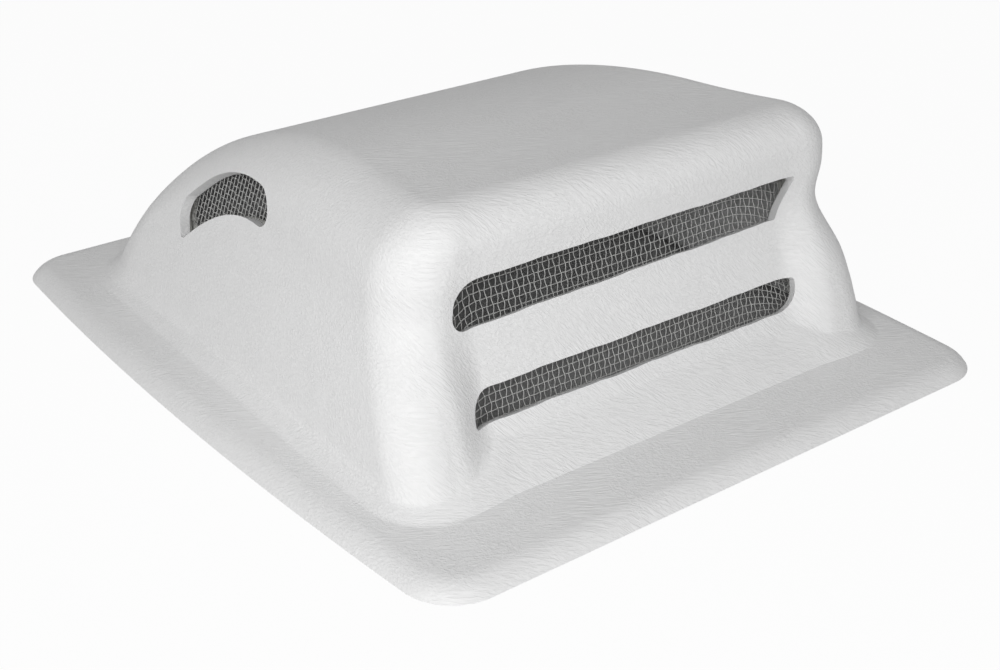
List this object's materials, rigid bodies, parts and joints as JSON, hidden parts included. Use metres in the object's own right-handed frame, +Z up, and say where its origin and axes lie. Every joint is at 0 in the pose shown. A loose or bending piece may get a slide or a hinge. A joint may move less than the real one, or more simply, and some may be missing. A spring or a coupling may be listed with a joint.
{
  "type": "vent cap",
  "caption": "Low streamlined roof vent cap: one formed white sheet with flange, slotted front and crescent side openings, insect screens glued inside.",
  "frame": {"origin": "middle of the flange's underside, which rests on the roof", "axes": "+Z up away from the roof, the slotted front faces -Y, the roof slopes down to the back at +Y, the left side is -X"},
  "size_m": [0.1658, 0.192, 0.0596],
  "materials": {
    "shell_plastic": "white thermoformed sheet with a fine haircell grain",
    "screen_mesh": "light grey coated screen wire",
    "adhesive": "cured off-white adhesive"
  },
  "bodies": {
    "root": {"cap_shell": "shell_plastic", "front_screen": "screen_mesh", "left_screen": "screen_mesh", "right_screen": "screen_mesh", "front_screen_adhesive": "adhesive", "left_screen_adhesive": "adhesive", "right_screen_adhesive": "adhesive"}
  },
  "joints": []
}
